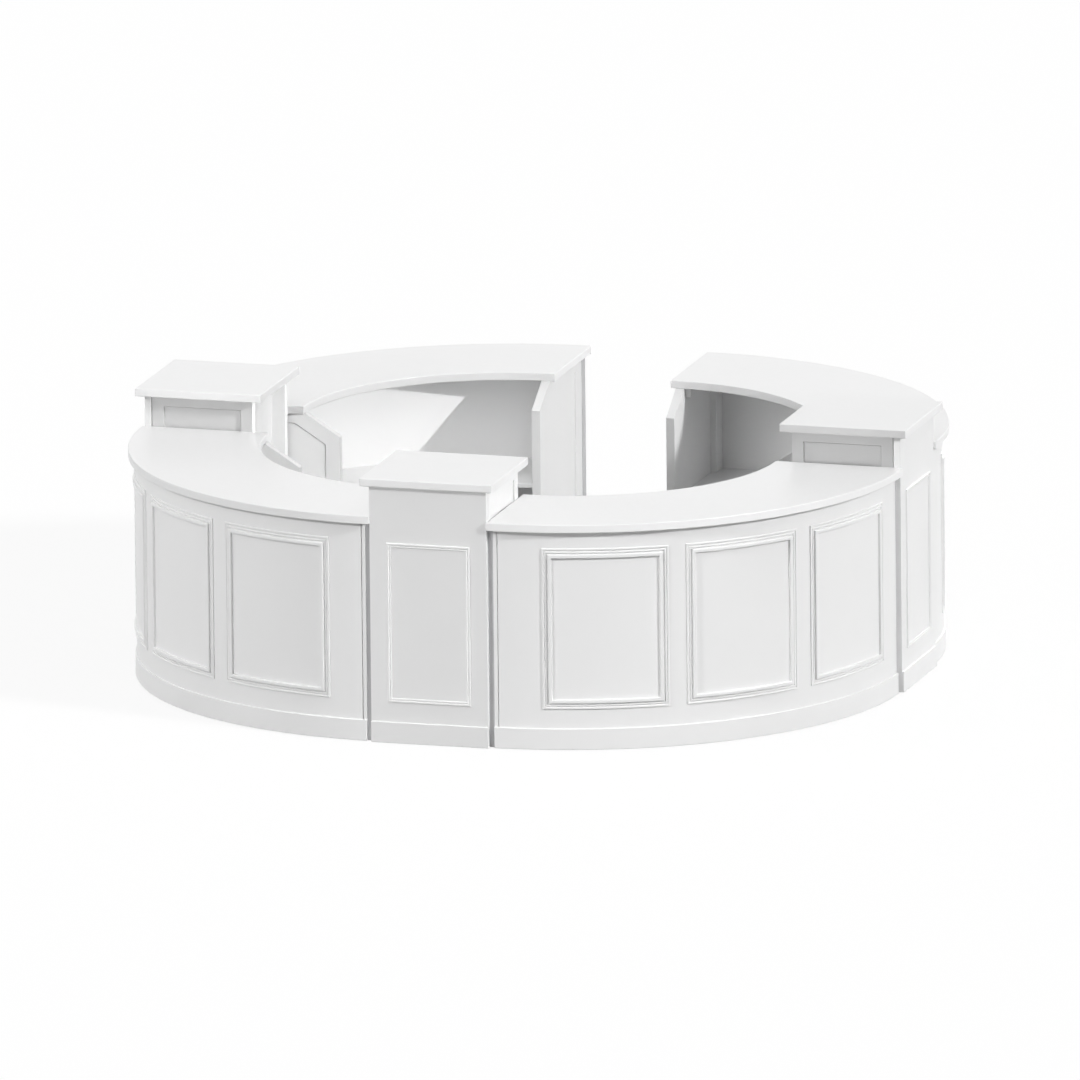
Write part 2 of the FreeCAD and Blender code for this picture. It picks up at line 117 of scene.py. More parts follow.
def wire(tree, *pairs):
    """Link outputs to inputs, or set an input that gets a plain value."""
    for source, target in pairs:
        if isinstance(source, bpy.types.NodeSocket):
            tree.links.new(source, target)
        else:
            target.default_value = source


def open_sockets(tree, direction, sockets):
    """Named sockets on the face of a group: label, kind of socket and default value."""
    for label, kind, value in sockets:
        socket = tree.interface.new_socket(name=label, in_out=direction, socket_type="NodeSocket" + kind)
        if value is not None:
            socket.default_value = value


NOISE_ROUGHNESS = 0.5
# Nearly all of the noise lies between these two
NOISE_LOW = 0.3
NOISE_HIGH = 0.7


def noise_field(tree, place, scale, detail):
    """Soft noise between 0 and 1 at so many blotches to the metre."""
    noise = add_node(tree, "ShaderNodeTexNoise", noise_dimensions="3D")
    wire(tree, (place, noise.inputs["Vector"]), (scale, noise.inputs["Scale"]),
         (detail, noise.inputs["Detail"]), (NOISE_ROUGHNESS, noise.inputs["Roughness"]))
    return noise.outputs["Fac"]


def spread(tree, value, low, high):
    """Stretch the middle of a noise over the range from low to high."""
    span = add_node(tree, "ShaderNodeMapRange", clamp=True)
    wire(tree, (value, span.inputs["Value"]),
         (NOISE_LOW, span.inputs["From Min"]), (NOISE_HIGH, span.inputs["From Max"]),
         (low, span.inputs["To Min"]), (high, span.inputs["To Max"]))
    return span.outputs["Result"]


lacquer_group = bpy.data.node_groups.new("sprayed_lacquer", "ShaderNodeTree")
open_sockets(lacquer_group, "INPUT", [
    ("Light Tone", "Color", (0.84, 0.84, 0.84, 1)),
    ("Deep Tone", "Color", (0.82, 0.82, 0.82, 1)),
    ("Drift Scale", "Float", 2.2),
    ("Low Roughness", "Float", 0.32),
    ("High Roughness", "Float", 0.44),
    ("Peel Scale", "Float", 240.0),
])
open_sockets(lacquer_group, "OUTPUT", [
    ("Color", "Color", None), ("Roughness", "Float", None), ("Peel", "Float", None)])
face = add_node(lacquer_group, "NodeGroupInput").outputs
result = add_node(lacquer_group, "NodeGroupOutput").inputs
place = add_node(lacquer_group, "ShaderNodeTexCoord").outputs["Object"]
SHEEN_SCALE = 38.0
DRIFT_DETAIL = 3.0
SHEEN_DETAIL = 4.0
PEEL_DETAIL = 2.0
drift = noise_field(lacquer_group, place, face["Drift Scale"], DRIFT_DETAIL)
blend = add_node(lacquer_group, "ShaderNodeMix", data_type="RGBA")
wire(lacquer_group, (spread(lacquer_group, drift, 0.0, 1.0), blend.inputs["Factor"]),
     (face["Light Tone"], blend.inputs["A"]), (face["Deep Tone"], blend.inputs["B"]),
     (blend.outputs["Result"], result["Color"]))
sheen = noise_field(lacquer_group, place, SHEEN_SCALE, SHEEN_DETAIL)
sheen_range = spread(lacquer_group, sheen, face["Low Roughness"], face["High Roughness"])
peel = noise_field(lacquer_group, place, face["Peel Scale"], PEEL_DETAIL)
wire(lacquer_group, (sheen_range, result["Roughness"]), (peel, result["Peel"]))
print("lacquer group has", len(lacquer_group.nodes), "nodes")

# %% [markdown]
# Four painted finishes use that group. The walls and mouldings are satin. The worktops and caps are
# rubbed down and sprayed once more, so they are smoother and a little lighter. The inside of the storage
# bays is a flatter, single coat. The filler strips between two modules are grey, which is painted shade:
# it stands in for the dark of the deep joints. Each finish is its own material with its own Principled
# shader, because values that are the same all over belong on the shader itself.

# %% Lacquer finishes
PEEL_STRENGTH = 0.35


def lacquer(name, light, deep, roughness, peel_scale, peel_depth, tint=(1.0, 1.0, 1.0)):
    """A painted finish: two close tones, a range of roughness, and the size of the orange peel."""
    paint = bpy.data.materials.new(name)
    paint.use_nodes = True
    tree = paint.node_tree
    shader = tree.nodes["Principled BSDF"]
    skin = add_node(tree, "ShaderNodeGroup", node_tree=lacquer_group)
    bump = add_node(tree, "ShaderNodeBump")
    wire(tree, ([light * part for part in tint] + [1], skin.inputs["Light Tone"]),
         ([deep * part for part in tint] + [1], skin.inputs["Deep Tone"]),
         (roughness[0], skin.inputs["Low Roughness"]), (roughness[1], skin.inputs["High Roughness"]),
         (peel_scale, skin.inputs["Peel Scale"]), (skin.outputs["Color"], shader.inputs["Base Color"]),
         (skin.outputs["Roughness"], shader.inputs["Roughness"]),
         (skin.outputs["Peel"], bump.inputs["Height"]), (peel_depth, bump.inputs["Distance"]),
         (PEEL_STRENGTH, bump.inputs["Strength"]), (bump.outputs["Normal"], shader.inputs["Normal"]))
    paint.diffuse_color = (light, light, light, 1)
    print(name, "renders near", round(light, 3))
    return paint


satin_lacquer = lacquer("satin_lacquer", 0.84, 0.825, (0.34, 0.46), 240.0, 0.05 * MM)
worktop_lacquer = lacquer("worktop_lacquer", 0.86, 0.85, (0.28, 0.38), 300.0, 0.025 * MM)
inside_lacquer = lacquer("inside_lacquer", 0.83, 0.81, (0.44, 0.58), 190.0, 0.06 * MM)
# The filler's grey is painted shade: it stands in for the dark of a deep joint between two modules
grey_filler = lacquer("grey_filler", 0.58, 0.54, (0.55, 0.7), 420.0, 0.08 * MM, (1.0, 1.0, 1.02))

# %% [markdown]
# Most boards of a quarter are bent or cut to the same circle and differ only in their radii and
# heights: worktop, outer wall, inner liner, shelf, deck, kick board and skirting. That is a rule, so
# one Geometry Nodes tree makes them all. It starts from a box with many slices, and sends each corner
# to a radius, an angle and a height. The ends stay parallel to the module's axes, as they are sawn on
# the real boards, so the angle of an end depends on the radius.

# %% Helpers that build a Geometry Nodes tree and keep the mesh it makes
def start_tree(name, inputs):
    """A new tree with named inputs; returns the tree, its inputs and its one output."""
    tree = bpy.data.node_groups.new(name, "GeometryNodeTree")
    open_sockets(tree, "INPUT", inputs + [("Finish", "Material", None)])
    open_sockets(tree, "OUTPUT", [("Geometry", "Geometry", None)])
    return tree, add_node(tree, "NodeGroupInput").outputs, add_node(tree, "NodeGroupOutput").inputs


def calc(tree, operation, *terms):
    """A math node with sockets or numbers as its terms."""
    node = add_node(tree, "ShaderNodeMath", operation=operation)
    wire(tree, *zip(terms, node.inputs))
    return node.outputs["Value"]


def close_tree(tree, geometry, finish, output):
    """Make instances real, give them their finish and hand them out."""
    real = add_node(tree, "GeometryNodeRealizeInstances")
    coat = add_node(tree, "GeometryNodeSetMaterial")
    wire(tree, (geometry, real.inputs["Geometry"]), (real.outputs["Geometry"], coat.inputs["Geometry"]),
         (finish, coat.inputs["Material"]), (coat.outputs["Geometry"], output["Geometry"]))


def plain_mesh(host):
    """The mesh that an object's modifiers make; the object itself goes."""
    scene.collection.objects.link(host)
    graph = bpy.context.evaluated_depsgraph_get()
    mesh = bpy.data.meshes.new_from_object(host.evaluated_get(graph), depsgraph=graph)
    host.modifiers.clear()
    bpy.data.objects.remove(host)
    return mesh


ROUND_FROM = math.radians(40)
SOFT_STEPS = 3
FINE_STEPS = 2


def add_rounding(host, radius, segments):
    """Take the sharpness off every edge that turns a corner."""
    rounding = host.modifiers.new("rounding", "BEVEL")
    rounding.width = radius
    rounding.segments = segments
    rounding.limit_method = "ANGLE"
    rounding.angle_limit = ROUND_FROM


def grown(tree, values, radius=0.0, segments=SOFT_STEPS, base=None):
    """Run a tree with these values for its named inputs, round the edges, and keep the plain mesh."""
    host = bpy.data.objects.new("host", base or bpy.data.meshes.new("host"))
    grower = host.modifiers.new("grow", "NODES")
    grower.node_group = tree
    for item in tree.interface.items_tree:
        if item.in_out == "INPUT" and item.name in values:
            grower[item.identifier] = values[item.name]
    if radius:
        add_rounding(host, radius, segments)
    return plain_mesh(host)


# %% Tree for a board on the quarter circle
bent_board, given, out = start_tree("bent_board", [
    ("Inner Radius", "Float", 0.9), ("Outer Radius", "Float", 1.5), ("Bottom", "Float", 0.0),
    ("Top", "Float", 0.02), ("End Inset", "Float", 0.0), ("Slices", "Int", 97)])
slab = add_node(bent_board, "GeometryNodeMeshCube")
wire(bent_board, (given["Slices"], slab.inputs["Vertices X"]), (2, slab.inputs["Vertices Y"]),
     (2, slab.inputs["Vertices Z"]))
corner = add_node(bent_board, "ShaderNodeSeparateXYZ")
position = add_node(bent_board, "GeometryNodeInputPosition").outputs["Position"]
wire(bent_board, (position, corner.inputs[0]))
part = {axis: calc(bent_board, "ADD", corner.outputs[axis], 0.5) for axis in "XYZ"}
depth = calc(bent_board, "SUBTRACT", given["Outer Radius"], given["Inner Radius"])
radius = calc(bent_board, "MULTIPLY_ADD", part["Y"], depth, given["Inner Radius"])
rise = calc(bent_board, "SUBTRACT", given["Top"], given["Bottom"])
height = calc(bent_board, "MULTIPLY_ADD", part["Z"], rise, given["Bottom"])
lean = calc(bent_board, "ARCSINE", calc(bent_board, "DIVIDE", given["End Inset"], radius))
sweep = calc(bent_board, "MULTIPLY_ADD", lean, -2.0, math.pi / 2)
turned = calc(bent_board, "MULTIPLY_ADD", part["X"], sweep, lean)
# The angle runs backwards so that the box is not turned inside out
angle = calc(bent_board, "SUBTRACT", math.pi / 2, turned)
spot = add_node(bent_board, "ShaderNodeCombineXYZ")
along_x = calc(bent_board, "MULTIPLY", radius, calc(bent_board, "COSINE", angle))
along_y = calc(bent_board, "MULTIPLY", radius, calc(bent_board, "SINE", angle))
wire(bent_board, (along_x, spot.inputs["X"]), (along_y, spot.inputs["Y"]), (height, spot.inputs["Z"]))
bend = add_node(bent_board, "GeometryNodeSetPosition")
wire(bent_board, (slab.outputs["Mesh"], bend.inputs["Geometry"]),
     (spot.outputs["Vector"], bend.inputs["Position"]))
close_tree(bent_board, bend.outputs["Geometry"], given["Finish"], out)
print("bent_board has", len(bent_board.nodes), "nodes")

# %% [markdown]
# A finished piece can hold several boards, such as the deck with its kick board and bearers. They are
# joined, shaded smooth, and given normals weighted by face area. Plain smooth shading would let the
# small rounded edges pull dark smudges across the big flat faces, and flat shading would show every
# slice of the curve. Then one copy goes to each module, rides on its body and stands for its CAD node.

# %% Helpers that finish a piece and put it in its modules
def joined(meshes):
    """Several meshes as one. Each has to be closed and to have its faces outwards."""
    bm = bmesh.new()
    litres = 0
    for mesh in meshes:
        bm.from_mesh(mesh)
        added = bm.calc_volume(signed=True) * 1000 - litres
        assert added > 0 and all(edge.is_manifold for edge in bm.edges), (mesh.name, added)
        litres += added
    whole = bpy.data.meshes.new("piece")
    bm.to_mesh(whole)
    bm.free()
    return whole, litres


CREASE = math.radians(38)


def smoothed(mesh):
    """Smooth shading with weighted normals; real creases stay sharp."""
    mesh.shade_smooth()
    mesh.set_sharp_from_angle(angle=CREASE)
    host = bpy.data.objects.new("host", mesh)
    weighting = host.modifiers.new("weighting", "WEIGHTED_NORMAL")
    weighting.keep_sharp = True
    return plain_mesh(host)


def furnish(family, piece, meshes, finish):
    """Finish a piece and give one copy of it to every module of a family."""
    whole, litres = joined(meshes)
    whole.materials.append(finish)
    whole = smoothed(whole)
    for module, spot in family.items():
        mesh = whole.copy()
        mesh.transform(module_place(*spot))
        mesh.name = f"{module}.{piece}"
        item = bpy.data.objects.new(mesh.name, mesh)
        scene.collection.objects.link(item)
        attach(item, module)
        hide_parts(f"{module}_{piece}")
    print(f"{piece}: {len(family)} copies, {len(whole.polygons)} faces, {litres:.1f} litres each")


# %% [markdown]
# The worktop is a thick board sawn to the quarter circle. It overhangs the outer wall a little and
# roofs the storage bay. It could be a thick curve, but the ends of a curve point at the centre of the
# arc, and these run parallel to the joint with the pedestals. Its rounded edges give the thin bright
# line that runs along the top.

# %% Worktops
BOARD_FOOT = 4 * MM
WORKTOP_BOTTOM = 1029 * MM
WORKTOP_TOP = 1067 * MM
WORKTOP_INNER = 938 * MM
WORKTOP_OUTER = 1550 * MM
WORKTOP_EASE = 4 * MM
WORKTOP_EASE_STEPS = 4


def bent(inner, outer, inset, bottom, top, finish, radius, segments=SOFT_STEPS):
    """A board on the quarter circle with rounded edges."""
    return grown(bent_board, {
        "Inner Radius": inner, "Outer Radius": outer, "End Inset": inset, "Bottom": bottom,
        "Top": top, "Finish": finish}, radius, segments)


worktop = bent(WORKTOP_INNER, WORKTOP_OUTER, CLEAR, WORKTOP_BOTTOM, WORKTOP_TOP, worktop_lacquer,
               WORKTOP_EASE, WORKTOP_EASE_STEPS)
furnish(QUARTERS, "countertop", [worktop], worktop_lacquer)

# %% [markdown]
# Behind the worktop's edge stands a double wall: a bent outer board that guests see, and a thin bent
# liner that closes the storage bay. Both are thin plywood in reality, bent over the studs and sprayed.
# Shelf and deck are flat boards cut to the same circle. All come from the same tree.

# %% Walls, shelves and bases
WALL_OUTER = 1519 * MM
WALL_INNER = 1501 * MM
WALL_INSET = 46 * MM
LINER_OUTER = 1481 * MM
LINER_INNER = 1472 * MM
BAY_INSET = 65 * MM
SHELF_INNER = 943 * MM
SHELF_OUTER = LINER_INNER - CLEAR
SHELF_BOTTOM = 517 * MM
SHELF_TOP = 537 * MM
SHELF_EASE = 2 * MM
BOARD_EASE = 1.2 * MM

wall = bent(WALL_INNER, WALL_OUTER, WALL_INSET, BOARD_FOOT, WORKTOP_BOTTOM, satin_lacquer, BOARD_EASE)
furnish(QUARTERS, "front_panel", [wall], satin_lacquer)
liner = bent(LINER_INNER, LINER_OUTER, BAY_INSET, BOARD_FOOT, WORKTOP_BOTTOM, inside_lacquer, BOARD_EASE)
furnish(QUARTERS, "back_liner", [liner], inside_lacquer)
shelf = bent(SHELF_INNER, SHELF_OUTER, BAY_INSET, SHELF_BOTTOM, SHELF_TOP, inside_lacquer, SHELF_EASE)
furnish(QUARTERS, "shelf", [shelf], inside_lacquer)

# %% [markdown]
# Bearers under the deck and studs between the two walls all point away from the centre of the arc and
# repeat at an even pitch. A loop in Python could place them, but a tree with a count and a pitch shows
# the rule and is easy to change. The box is made once and instanced on points, each turned about Z.

# %% Tree for boards that point outwards
spoke_boards, given, out = start_tree("spoke_boards", [
    ("Count", "Int", 3), ("Pitch", "Float", 0.4), ("Reach", "Float", 1.0), ("Depth", "Float", 0.4),
    ("Width", "Float", 0.04), ("Bottom", "Float", 0.0), ("Height", "Float", 0.05)])
size = add_node(spoke_boards, "ShaderNodeCombineXYZ")
wire(spoke_boards, (given["Depth"], size.inputs["X"]), (given["Width"], size.inputs["Y"]),
     (given["Height"], size.inputs["Z"]))
block = add_node(spoke_boards, "GeometryNodeMeshCube")
centre = add_node(spoke_boards, "ShaderNodeCombineXYZ")
wire(spoke_boards, (size.outputs["Vector"], block.inputs["Size"]),
     (calc(spoke_boards, "MULTIPLY_ADD", given["Depth"], 0.5, given["Reach"]), centre.inputs["X"]),
     (calc(spoke_boards, "MULTIPLY_ADD", given["Height"], 0.5, given["Bottom"]), centre.inputs["Z"]))
moved = add_node(spoke_boards, "GeometryNodeTransform")
wire(spoke_boards, (block.outputs["Mesh"], moved.inputs["Geometry"]),
     (centre.outputs["Vector"], moved.inputs["Translation"]))


def fan_out(tree, geometry, count, pitch, middle):
    """Instances of a geometry turned about Z, at an even pitch either side of a middle angle."""
    points = add_node(tree, "GeometryNodePoints")
    index = add_node(tree, "GeometryNodeInputIndex").outputs["Index"]
    half = calc(tree, "MULTIPLY", calc(tree, "SUBTRACT", count, 1.0), 0.5)
    step = calc(tree, "SUBTRACT", index, half)
    swing = add_node(tree, "ShaderNodeCombineXYZ")
    turn = add_node(tree, "FunctionNodeEulerToRotation")
    copies = add_node(tree, "GeometryNodeInstanceOnPoints")
    wire(tree, (count, points.inputs["Count"]),
         (calc(tree, "MULTIPLY_ADD", step, pitch, middle), swing.inputs["Z"]),
         (swing.outputs["Vector"], turn.inputs["Euler"]),
         (points.outputs["Points"], copies.inputs["Points"]), (geometry, copies.inputs["Instance"]),
         (turn.outputs["Rotation"], copies.inputs["Rotation"]))
    return copies.outputs["Instances"]


spokes = fan_out(spoke_boards, moved.outputs["Geometry"], given["Count"], given["Pitch"], QUARTER_MIDDLE)
close_tree(spoke_boards, spokes, given["Finish"], out)
print("spoke_boards has", len(spoke_boards.nodes), "nodes")

# %% Bases: deck, kick board and three bearers
DECK_BOTTOM = 60 * MM
DECK_TOP = 80 * MM
KICK_INNER = 983 * MM
KICK_OUTER = 1001 * MM
BEARER_COUNT = 3
BEARER_SPACING = 520 * MM
BEARER_WIDTH = 40 * MM
BEARER_REACH = KICK_OUTER + CLEAR
BEARER_END = math.sqrt(LINER_INNER ** 2 - BEARER_WIDTH ** 2 / 4) - CLEAR
BEARER_PITCH = 2 * BEARER_SPACING / (KICK_OUTER + LINER_INNER)

bearers = grown(spoke_boards, {
    "Count": BEARER_COUNT, "Pitch": BEARER_PITCH, "Reach": BEARER_REACH, "Depth": BEARER_END - BEARER_REACH,
    "Width": BEARER_WIDTH, "Bottom": BOARD_FOOT, "Height": DECK_BOTTOM - BOARD_FOOT,
    "Finish": inside_lacquer}, BOARD_EASE)
deck = bent(SHELF_INNER, SHELF_OUTER, BAY_INSET, DECK_BOTTOM, DECK_TOP, inside_lacquer, SHELF_EASE)
kick = bent(KICK_INNER, KICK_OUTER, BAY_INSET, BOARD_FOOT, DECK_BOTTOM, inside_lacquer, BOARD_EASE)
furnish(QUARTERS, "base", [deck, kick, bearers], inside_lacquer)

# %% [markdown]
# The framing holds each module together: a corner post at either end of the wall, battens under the
# shelf and the worktop, and five studs between wall and liner. Posts and battens are boxes with rounded
# edges, made with bmesh, because they sit square in the module and do not repeat by any rule. The
# second end is the mirror image of the first across the line at 45 degrees, so x and y change places.

# %% Framing
def boards(rows, radius=BOARD_EASE, segments=FINE_STEPS):
    """Rounded boards as one mesh; each row is a lowest corner and a size."""
    bm = bmesh.new()
    for start, size in rows:
        middle = [low + length / 2 for low, length in zip(start, size)]
        stretched = Matrix.Translation(middle) @ Matrix.Diagonal((*size, 1))
        bmesh.ops.create_cube(bm, size=1, matrix=stretched)
    mesh = bpy.data.meshes.new("boards")
    bm.to_mesh(mesh)
    bm.free()
    host = bpy.data.objects.new("host", mesh)
    add_rounding(host, radius, segments)
    return plain_mesh(host)


MIRROR_ENDS = Matrix(((0, 1, 0, 0), (1, 0, 0, 0), (0, 0, 1, 0), (0, 0, 0, 1)))
MIRROR_SIDES = Matrix.Diagonal((-1, 1, 1, 1))


def with_twin(mesh, mirror):
    """A mesh and its mirror image, with the twin's faces turned outwards again."""
    twin = mesh.copy()
    twin.transform(mirror)
    twin.flip_normals()
    return [mesh, twin]


POST_WIDTH = 30 * MM
POST_DEPTH = 100 * MM
POST_OUTER = math.sqrt(LINER_INNER ** 2 - (BAY_INSET + POST_WIDTH) ** 2) - CLEAR
POST_INNER = POST_OUTER - POST_DEPTH
CLEAT_WIDTH = 25 * MM
CLEAT_HEIGHT = 45 * MM
CLEAT_SETBACK = 20 * MM
CLEAT_START = SHELF_INNER + CLEAT_SETBACK
STUD_COUNT = 5
STUD_INSET = 230 * MM
STUD_WIDTH = 45 * MM
STUD_REACH = LINER_OUTER + CLEAR
STUD_END = math.sqrt(WALL_INNER ** 2 - STUD_WIDTH ** 2 / 4) - CLEAR
STUD_LEAN = math.asin((BAY_INSET + STUD_INSET) / LINER_OUTER)
STUD_PITCH = 2 * (QUARTER_MIDDLE - STUD_LEAN) / (STUD_COUNT - 1)

rows = [((BAY_INSET, POST_INNER, low), (POST_WIDTH, POST_DEPTH, high - low))
        for low, high in ((DECK_TOP, SHELF_BOTTOM), (SHELF_TOP, WORKTOP_BOTTOM))]
cleat_size = (CLEAT_WIDTH, POST_INNER - CLEAT_START, CLEAT_HEIGHT)
rows += [((BAY_INSET, CLEAT_START, under - CLEAT_HEIGHT), cleat_size)
         for under in (SHELF_BOTTOM, WORKTOP_BOTTOM)]
studs = grown(spoke_boards, {
    "Count": STUD_COUNT, "Pitch": STUD_PITCH, "Reach": STUD_REACH,
    "Depth": STUD_END - STUD_REACH, "Width": STUD_WIDTH, "Bottom": BOARD_FOOT,
    "Height": WORKTOP_BOTTOM - BOARD_FOOT, "Finish": inside_lacquer}, BOARD_EASE)
posts_and_cleats = with_twin(boards(rows), MIRROR_ENDS)
furnish(QUARTERS, "framing", posts_and_cleats + [studs], inside_lacquer)

# %% [markdown]
# Where two modules meet, a grey strip closes the joint behind the wall faces. Its grey is painted shade,
# the dark of that deep joint, and from the front it is the dark line beside each pedestal. At the way in
# there is no joint to fill, and the strip is only a flat cover on the end panel, in the same grey. Both
# are simple battens with softened edges. A rear module has one of each.

# %% Filler strips
STRIP_WIDTH = 50 * MM
STRIP_SETBACK = 6 * MM
STRIP_START = WALL_OUTER - STRIP_SETBACK - STRIP_WIDTH
END_SETBACK = 25 * MM
COVER_THICKNESS = 4 * MM


def end_strips(thickness):
    """Strips on both end panels of a quarter."""
    strip = boards([((END_SETBACK - thickness, STRIP_START, BOARD_FOOT),
                     (thickness, STRIP_WIDTH, WORKTOP_BOTTOM - BOARD_FOOT))])
    return with_twin(strip, MIRROR_ENDS)


near_filler, far_filler = end_strips(END_SETBACK - CLEAR)
near_cover, far_cover = end_strips(COVER_THICKNESS)
# Fillers and covers alike take the grey that is painted shade
for module, spot in QUARTERS.items():
    pair = [near_cover if module == "rear_right" else near_filler,
            far_cover if module == "rear_left" else far_filler]
    furnish({module: spot}, "end_strips", pair, grey_filler)

# %% [markdown]
# The ends of a quarter and the sides of a pedestal are made alike: a thick board with a sunk field, as
# a frame-and-panel door has, and a small step along the edge that faces the guests. One function makes
# both. It lays the board's outline and the field's outline over each other with the same number of
# corners, so that the border between them is a ring of clean four-sided faces. A narrow slot runs round
# the field, where the loose panel sits in its frame; it is what draws the thin dark line.

# %% A board with a sunk field
SUNK_EASE = 0.8 * MM
SLOT_WIDTH = 3 * MM
SLOT_DEPTH = 5 * MM


def inset(outline, distance):
    """An outline moved inwards. Its corners run anticlockwise."""
    corners = [Vector(corner) for corner in outline]
    moved = []
    for before, here, after in zip(corners[-1:] + corners[:-1], corners, corners[1:] + corners[:1]):
        arriving = (here - before).normalized()
        leaving = (after - here).normalized()
        sideways = arriving + leaving
        inwards = Vector((-sideways.y, sideways.x))
        moved.append(here + inwards * distance / (1 + arriving.dot(leaving)))
    return moved


def sunk_board(face_outline, back_reach, field, levels, depth):
    """A board in the YZ plane. Corners 1 and 2 of its outline form the edge with the step, which stands
    at back_reach behind the step. The levels are the x of the face, of the step and of the back."""
    face_x, step_x, back_x = levels
    inward = 1 if back_x > face_x else -1
    bm = bmesh.new()

    def row(x, outline):
        return [bm.verts.new((x, along, up)) for along, up in outline]

    count = len(face_outline)
    back_outline = [(back_reach, up) if place in (1, 2) else (along, up)
                    for place, (along, up) in enumerate(face_outline)]
    front = row(face_x, face_outline)
    back = row(back_x, back_outline)
    slot_x = face_x + inward * (depth + SLOT_DEPTH)
    panel = inset(field, SLOT_WIDTH)
    panel_x = face_x + inward * depth
    rings = [row(face_x, field), row(slot_x, field), row(slot_x, panel), row(panel_x, panel)]
    low_step, high_step = row(step_x, face_outline[1:3])
    low_notch, high_notch = row(step_x, back_outline[1:3])
    faces = [back, rings[-1]]
    for here in range(count):
        after = (here + 1) % count
        for wide, narrow in zip([front] + rings, rings):
            faces.append([wide[here], wide[after], narrow[after], narrow[here]])
        if here > 2:
            faces.append([front[here], front[after], back[after], back[here]])
    faces.append([front[0], front[1], low_step, low_notch, back[1], back[0]])
    faces.append([front[2], front[3], back[3], back[2], high_notch, high_step])
    faces.append([front[1], front[2], high_step, low_step])
    faces.append([low_step, high_step, high_notch, low_notch])
    faces.append([low_notch, high_notch, back[2], back[1]])
    for corners in faces:
        bm.faces.new(corners)
    bmesh.ops.recalc_face_normals(bm, faces=bm.faces)
    mesh = bpy.data.meshes.new("sunk_board")
    bm.to_mesh(mesh)
    bm.free()
    host = bpy.data.objects.new("host", mesh)
    add_rounding(host, SUNK_EASE, FINE_STEPS)
    return plain_mesh(host)


# %% End panels of the quarters
END_BACK = BAY_INSET
END_INNER = 773 * MM
END_OUTER = math.sqrt(WALL_INNER ** 2 - END_BACK ** 2) - CLEAR
LIP_THICKNESS = 18 * MM
LIP_END = END_SETBACK + LIP_THICKNESS
LIP_OUTER = math.sqrt(WALL_OUTER ** 2 - LIP_END ** 2) - CLEAR
SLOPE_DROP = 105 * MM
SLOPE_RUN = WORKTOP_INNER - END_INNER
SLOPE_LENGTH = math.hypot(SLOPE_RUN, SLOPE_DROP)
SLOPE_BOTTOM = WORKTOP_BOTTOM - SLOPE_DROP
END_STILE = 68 * MM
END_RAIL = 48 * MM
END_FOOT_RAIL = 110 * MM
END_RECESS = 6 * MM

slope = SLOPE_DROP / SLOPE_RUN
# The field's sloping edge keeps the width of the stile from the board's sloping edge
corner_up = SLOPE_BOTTOM - END_STILE * SLOPE_RUN / SLOPE_LENGTH
corner_up += slope * END_STILE * (1 - SLOPE_DROP / SLOPE_LENGTH)
corner_along = END_INNER + END_STILE * SLOPE_DROP / SLOPE_LENGTH
corner_along += (SLOPE_DROP - END_RAIL + END_STILE * SLOPE_RUN / SLOPE_LENGTH) / slope
outline = [(END_INNER, BOARD_FOOT), (LIP_OUTER, BOARD_FOOT), (LIP_OUTER, WORKTOP_BOTTOM),
           (WORKTOP_INNER, WORKTOP_BOTTOM), (END_INNER, SLOPE_BOTTOM)]
field = [(END_INNER + END_STILE, END_FOOT_RAIL), (POST_INNER, END_FOOT_RAIL),
         (POST_INNER, WORKTOP_BOTTOM - END_RAIL), (corner_along, WORKTOP_BOTTOM - END_RAIL),
         (END_INNER + END_STILE, corner_up)]
end_panel = sunk_board(outline, END_OUTER, field, (END_SETBACK, LIP_END, END_BACK), END_RECESS)
furnish(QUARTERS, "end_panels", with_twin(end_panel, MIRROR_ENDS), satin_lacquer)

# %% [markdown]
# The applied mouldings make the counter look like panelled joinery. On the real wall they are lengths
# of moulding, mitred at the corners and bent to the wall. A curve with a bevel profile would pinch at
# square corners, so this tree nests rings instead: each point of the profile becomes one ring, inset
# from the frame's outline by the point's first number and raised from the wall by its second. The
# mitres come out exact. Then the flat frame is wrapped round the wall, or left flat on a pedestal.

# %% Tree for moulding frames
SEAM_MERGE = 0.02 * MM
moulding, given, out = start_tree("moulding_frames", [
    ("Profile", "Object", None), ("Profile Points", "Int", 8), ("Side Steps", "Int", 24),
    ("Width", "Float", 0.5), ("Height", "Float", 0.7), ("Bottom", "Float", 0.2),
    ("Wall Distance", "Float", 1.5), ("Bent", "Bool", True), ("Count", "Int", 3),
    ("Pitch", "Float", 0.4), ("Middle", "Float", 0.0)])
ring_points = calc(moulding, "MULTIPLY_ADD", given["Side Steps"], 4.0, 1.0)
net = add_node(moulding, "GeometryNodeMeshGrid")
wire(moulding, (ring_points, net.inputs["Vertices X"]), (given["Profile Points"], net.inputs["Vertices Y"]))
index = add_node(moulding, "GeometryNodeInputIndex").outputs["Index"]
# Half a step keeps the division off the border between two rings
past = calc(moulding, "ADD", index, 0.5)
ring = calc(moulding, "FLOOR", calc(moulding, "DIVIDE", past, given["Profile Points"]))
level = calc(moulding, "MODULO", index, given["Profile Points"])
shape = add_node(moulding, "GeometryNodeObjectInfo")
sample = add_node(moulding, "GeometryNodeSampleIndex", data_type="FLOAT_VECTOR")
position = add_node(moulding, "GeometryNodeInputPosition").outputs["Position"]
wire(moulding, (given["Profile"], shape.inputs["Object"]),
     (shape.outputs["Geometry"], sample.inputs["Geometry"]), (position, sample.inputs["Value"]),
     (level, sample.inputs["Index"]))
profile = add_node(moulding, "ShaderNodeSeparateXYZ")
wire(moulding, (sample.outputs["Value"], profile.inputs[0]))


